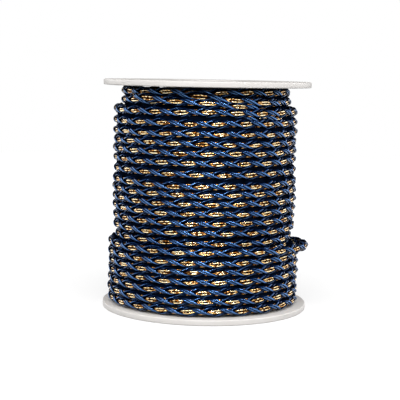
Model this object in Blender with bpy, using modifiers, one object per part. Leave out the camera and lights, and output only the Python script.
"""Braided cord wound on a plain white spool.

The spool stands on its bottom flange, with its axis on +Z and the origin at the centre of its base.
Angles round the axis are measured from the front, -Y, towards +X. The cord is wound in level turns:
each one runs round the front at one height and climbs to the next across a stretch at the back.
"""

import math

import bmesh
import bpy
import numpy as np
from mathutils import Vector

MM = 0.001

# Driving dimensions, in millimetres

SPOOL_HEIGHT = 77.1
FLANGE_THICKNESS = 1.9
TOP_FLANGE_RADIUS = 35.1
BOTTOM_FLANGE_RADIUS = 34.8
RIM_ROUND = 0.5
BARREL_RADIUS = 14.0
BORE_RADIUS = 12.0
GAP = 0.3

CORD_DIAMETER = 3.0
BRAID_LENGTH = 17.4
WINDING_SHIFT_X = -0.5

# The turns from the bottom up: the height of the cord's middle at the front, and the winding's radius
# there. The lowest turns are the outermost layer, the two at the top lie one layer deeper.

TURNS = (
    {"height": 3.9, "radius": 32.5},
    {"height": 7.0, "radius": 32.6},
    {"height": 10.2, "radius": 32.5},
    {"height": 13.4, "radius": 32.6},
    {"height": 16.5, "radius": 32.5},
    {"height": 19.5, "radius": 32.6},
    {"height": 22.6, "radius": 32.5},
    {"height": 25.3, "radius": 30.1},
    {"height": 28.7, "radius": 31.0},
    {"height": 31.9, "radius": 31.0},
    {"height": 35.0, "radius": 31.2},
    {"height": 38.1, "radius": 31.3},
    {"height": 41.1, "radius": 31.4},
    {"height": 43.9, "radius": 31.4},
    {"height": 47.6, "radius": 31.1},
    {"height": 51.1, "radius": 31.0},
    {"height": 54.3, "radius": 31.2},
    {"height": 57.2, "radius": 31.1},
    {"height": 60.3, "radius": 31.2},
    {"height": 63.7, "radius": 31.1},
    {"height": 67.2, "radius": 31.1},
    {"height": 70.4, "radius": 28.7},
    {"height": 73.4, "radius": 28.6},
)
LOOSE_TURN = 6
SEAT_RADIUS = 29.2
VALLEY_DEPTH = 1.1
FLANK = 0.92

# The climb at the back, in degrees: half of the stretch that it takes

CLIMB_HALF_ANGLE = 70.0

# The loose end leaves the winding at the front left, stands off it at the right and ends at the back.
# Each row gives a place of its middle line: degrees from the front, radius and height.

LOOSE_START = -59.0
LOOSE_ROUTE = (
    {"angle": -58.4, "radius": 31.2, "height": 22.7},
    {"angle": -30.0, "radius": 31.2, "height": 22.8},
    {"angle": 0.0, "radius": 31.3, "height": 22.8},
    {"angle": 28.0, "radius": 31.8, "height": 22.8},
    {"angle": 50.0, "radius": 32.9, "height": 22.5},
    {"angle": 70.0, "radius": 34.0, "height": 22.2},
    {"angle": 88.0, "radius": 34.4, "height": 22.3},
    {"angle": 106.0, "radius": 34.0, "height": 22.7},
    {"angle": 128.0, "radius": 32.9, "height": 23.3},
    {"angle": 154.0, "radius": 32.2, "height": 23.9},
    {"angle": 182.0, "radius": 32.0, "height": 24.5},
    {"angle": 206.0, "radius": 32.0, "height": 24.9},
)
LOOSE_STEP = 1.5
LOOSE_CORE = 1.26
LOOSE_RELIEF = 0.15

# How finely the round forms are cut, in sides, steps and degrees

FLANGE_SIDES = 48
BARREL_SIDES = 40
WINDING_SIDES = 36
RIM_STEPS = 3
ROUTE_STEPS = 40
PLASTIC_CREASE = 30.0
CORD_CREASE = 60.0
START_FACE = 0.6
MERGE_DISTANCE = 0.00001

TOP_FLANGE_UNDERSIDE = SPOOL_HEIGHT - FLANGE_THICKNESS
CORD_RADIUS = CORD_DIAMETER / 2


def clear_scene():
    """Remove the objects that a new file starts with."""
    for old in list(bpy.data.objects):
        bpy.data.objects.remove(old, do_unlink=True)


def make_collection(name):
    collection = bpy.data.collections.new(name)
    bpy.context.scene.collection.children.link(collection)
    return collection


def linear(channel):
    """One sRGB channel, 0 to 1, as linear light."""
    return channel / 12.92 if channel <= 0.04045 else ((channel + 0.055) / 1.055) ** 2.4


def make_material(name, hex_colour, roughness):
    """A Principled material from an sRGB hex colour such as E9E6E2."""
    material = bpy.data.materials.new(name)
    material.use_nodes = True
    shader = material.node_tree.nodes["Principled BSDF"]
    channels = [int(hex_colour[i:i + 2], 16) / 255 for i in (0, 2, 4)]
    shader.inputs["Base Color"].default_value = [*map(linear, channels), 1.0]
    shader.inputs["Roughness"].default_value = roughness
    return material


def link_object(name, mesh, material, collection):
    obj = bpy.data.objects.new(name, mesh)
    mesh.materials.append(material)
    collection.objects.link(obj)
    return obj


def turn_profile(name, profile, sides, material, collection):
    """Turn a closed outline of (radius, height) pairs, in millimetres, round the axis."""
    mesh = bpy.data.meshes.new(name)
    count = len(profile)
    edges = [(i, (i + 1) % count) for i in range(count)]
    mesh.from_pydata([(r * MM, 0.0, z * MM) for r, z in profile], edges, [])
    obj = link_object(name, mesh, material, collection)
    screw = obj.modifiers.new("Turn", "SCREW")
    screw.axis = "Z"
    screw.steps = sides
    screw.render_steps = sides
    screw.use_merge_vertices = True
    screw.merge_threshold = MERGE_DISTANCE
    return obj


def apply_modifiers(obj):
    """Replace the object's mesh by its evaluated one."""
    evaluated = obj.evaluated_get(bpy.context.evaluated_depsgraph_get())
    solid = bpy.data.meshes.new_from_object(evaluated)
    obj.modifiers.clear()
    obj.data = solid
    return solid


def flange_profile(radius, base):
    """A flat ring with a rounded rim, its underside at the height base."""
    outline = [(BORE_RADIUS, base + FLANGE_THICKNESS)]
    for top in (True, False):
        middle = base + (FLANGE_THICKNESS - RIM_ROUND if top else RIM_ROUND)
        for step in range(RIM_STEPS + 1):
            turn = math.pi / 2 * step / RIM_STEPS
            angle = math.pi / 2 - turn if top else -turn
            outline.append((
                radius - RIM_ROUND + RIM_ROUND * math.cos(angle),
                middle + RIM_ROUND * math.sin(angle),
            ))
    outline.append((BORE_RADIUS, base))
    return outline


def make_flange(name, radius, base, material, collection):
    obj = turn_profile(name, flange_profile(radius, base), FLANGE_SIDES, material, collection)
    smooth_round(apply_modifiers(obj), PLASTIC_CREASE)


def make_barrel(material, collection):
    low = FLANGE_THICKNESS + GAP
    high = TOP_FLANGE_UNDERSIDE - GAP
    outline = [(BORE_RADIUS, high), (BARREL_RADIUS, high), (BARREL_RADIUS, low), (BORE_RADIUS, low)]
    obj = turn_profile("barrel", outline, BARREL_SIDES, material, collection)
    smooth_round(apply_modifiers(obj), PLASTIC_CREASE)


def smooth_round(mesh, sharp_degrees):
    mesh.shade_smooth()
    mesh.set_sharp_from_angle(angle=math.radians(sharp_degrees))


def climb(angle):
    """Share of one turn's pitch by which the cord has climbed, -0.5 to 0.5, at an angle in degrees."""
    past = abs(angle) - (180.0 - CLIMB_HALF_ANGLE)
    if past <= 0:
        return 0.0
    share = past / (2 * CLIMB_HALF_ANGLE)
    return math.copysign(share * share * (3 - 2 * share), angle)


def turn_radius(number, angle):
    """Radius of one turn at an angle: the loose turn leaves an empty seat past its start."""
    number = min(max(number, 0), len(TURNS) - 1)
    if number == LOOSE_TURN and angle >= LOOSE_START:
        return SEAT_RADIUS
    return TURNS[number]["radius"]


def wound_radius(angle, height):
    """Outer radius of the winding, with a ridge for each turn."""
    heights = [turn["height"] for turn in TURNS]
    pitch = (heights[-1] - heights[0]) / (len(heights) - 1)
    padded = [heights[0] - pitch, *heights, heights[-1] + pitch]
    place = float(np.interp(height, padded, range(-1, len(heights) + 1)))
    rise = climb(angle)
    number = round(place - rise)
    off_middle = abs(place - rise - number) * pitch
    drop = VALLEY_DEPTH
    if off_middle < CORD_RADIUS:
        drop = min(VALLEY_DEPTH, CORD_RADIUS - math.sqrt(CORD_RADIUS ** 2 - off_middle ** 2))
    here = turn_radius(number, angle)
    beyond = turn_radius(number + (1 if angle > 0 else -1), -angle)
    return here + (beyond - here) * abs(rise) - drop


def winding_outline():
    """Closed outline for the turned blank: three heights on each turn and one in each valley."""
    low = FLANGE_THICKNESS + GAP
    high = TOP_FLANGE_UNDERSIDE - GAP
    inner = BARREL_RADIUS + GAP
    heights = []
    for number, turn in enumerate(TURNS):
        if number:
            heights.append((TURNS[number - 1]["height"] + turn["height"]) / 2)
        heights += [turn["height"] - FLANK, turn["height"], turn["height"] + FLANK]
    heights = [low, *heights, high]
    outer = TURNS[0]["radius"]
    return [(inner, high), *[(outer, z) for z in reversed(heights)], (inner, low)]


def winding_angles():
    """Angles of the winding's sections: even, with two close together at the loose end's start."""
    step = 360.0 / WINDING_SIDES
    angles = [-180.0 + step * i for i in range(WINDING_SIDES + 1)]
    just_before = LOOSE_START - START_FACE
    nearest = min(range(len(angles)), key=lambda i: abs(angles[i] - just_before))
    return [*angles[:nearest], just_before, LOOSE_START, *angles[nearest + 1:]]


def make_winding(material, collection):
    """Turn a plain blank, then set each of its points on the wound surface."""
    angles = winding_angles()
    sides = len(angles) - 1
    obj = turn_profile("winding", winding_outline(), sides, material, collection)
    solid = apply_modifiers(obj)
    inner = (BARREL_RADIUS + GAP) * MM
    for point in solid.vertices:
        x, y, z = point.co
        turned = round(math.atan2(y, x) / (2 * math.pi) * sides) % sides
        angle = angles[turned]
        radius = math.hypot(x, y)
        shift = 0.0
        if radius > inner + MM:
            radius = wound_radius(angle, z / MM) * MM
            shift = WINDING_SHIFT_X * MM
        direction = math.radians(angle)
        point.co = (radius * math.sin(direction) + shift, -radius * math.cos(direction), z)
    smooth_round(solid, CORD_CREASE)


def loose_points():
    """The loose end's middle line, at even steps along a smooth curve through its route."""
    places = np.array([[row["angle"], row["radius"], row["height"]] for row in LOOSE_ROUTE])
    padded = np.vstack([2 * places[0] - places[1], places, 2 * places[-1] - places[-2]])
    fine = []
    for i in range(1, len(padded) - 2):
        before, here, after, last = padded[i - 1:i + 3]
        for t in np.linspace(0, 1, ROUTE_STEPS, endpoint=False):
            fine.append(0.5 * (
                2 * here
                + (after - before) * t
                + (2 * before - 5 * here + 4 * after - last) * t ** 2
                + (3 * here - before - 3 * after + last) * t ** 3
            ))
    fine.append(places[-1])
    angle, radius, height = np.array(fine).T
    turned = np.radians(angle)
    line = np.stack([
        radius * np.sin(turned) + WINDING_SHIFT_X,
        -radius * np.cos(turned),
        height,
    ], axis=1) * MM
    along = np.concatenate([[0], np.cumsum(np.linalg.norm(np.diff(line, axis=0), axis=1))])
    count = round(along[-1] / (LOOSE_STEP * MM))
    even = np.linspace(0, along[-1], count + 1)
    return np.stack([np.interp(even, along, line[:, k]) for k in range(3)], axis=1)


def braid_lift(turned, along):
    """Height of a strand above the core, 0 to 1: two strands wind each way round a round braid."""
    wind = 2 * math.pi * along / (BRAID_LENGTH * MM)
    return max(abs(math.cos(turned - wind)), abs(math.cos(turned + wind))) ** 3


def raise_braid(skin, points):
    """Push the tube's skin out where a strand of the braid lies over it."""
    step = float(np.linalg.norm(points[1] - points[0]))
    for vert in skin.verts:
        nearest = int(np.argmin(np.linalg.norm(points - np.array(vert.co), axis=1)))
        middle = Vector(points[nearest])
        outward = Vector((middle.x - WINDING_SHIFT_X * MM, middle.y, 0.0)).normalized()
        offset = vert.co - middle
        turned = math.atan2(offset.z, offset.dot(outward))
        lift = braid_lift(turned, nearest * step)
        vert.co = middle + offset.normalized() * (LOOSE_CORE + LOOSE_RELIEF * lift) * MM


def make_loose_end(material, collection):
    """A cord tube along the route, with the strands of its braid raised on it."""
    points = loose_points()
    curve = bpy.data.curves.new("loose_end", "CURVE")
    curve.dimensions = "3D"
    curve.bevel_depth = LOOSE_CORE * MM
    curve.bevel_resolution = 2
    curve.use_fill_caps = True
    spline = curve.splines.new("POLY")
    spline.points.add(len(points) - 1)
    for place, point in zip(spline.points, points):
        place.co = (*point, 1.0)
    guide = bpy.data.objects.new("loose_guide", curve)
    collection.objects.link(guide)
    tube = bpy.data.meshes.new_from_object(guide.evaluated_get(bpy.context.evaluated_depsgraph_get()))
    bpy.data.objects.remove(guide, do_unlink=True)
    skin = bmesh.new()
    skin.from_mesh(tube)
    bmesh.ops.remove_doubles(skin, verts=skin.verts, dist=MERGE_DISTANCE)
    raise_braid(skin, points)
    bmesh.ops.recalc_face_normals(skin, faces=skin.faces)
    skin.to_mesh(tube)
    skin.free()
    tube.name = "loose_end"
    link_object("loose_end", tube, material, collection)
    smooth_round(tube, CORD_CREASE)


def build():
    clear_scene()
    collection = make_collection("braided_cord_spool")
    plastic = make_material("white_plastic", "E9E6E2", 0.45)
    navy = make_material("navy_cord", "16284A", 0.4)
    make_flange("flange_bottom", BOTTOM_FLANGE_RADIUS, 0.0, plastic, collection)
    make_barrel(plastic, collection)
    make_flange("flange_top", TOP_FLANGE_RADIUS, TOP_FLANGE_UNDERSIDE, plastic, collection)
    make_winding(navy, collection)
    make_loose_end(navy.copy(), collection)


build()
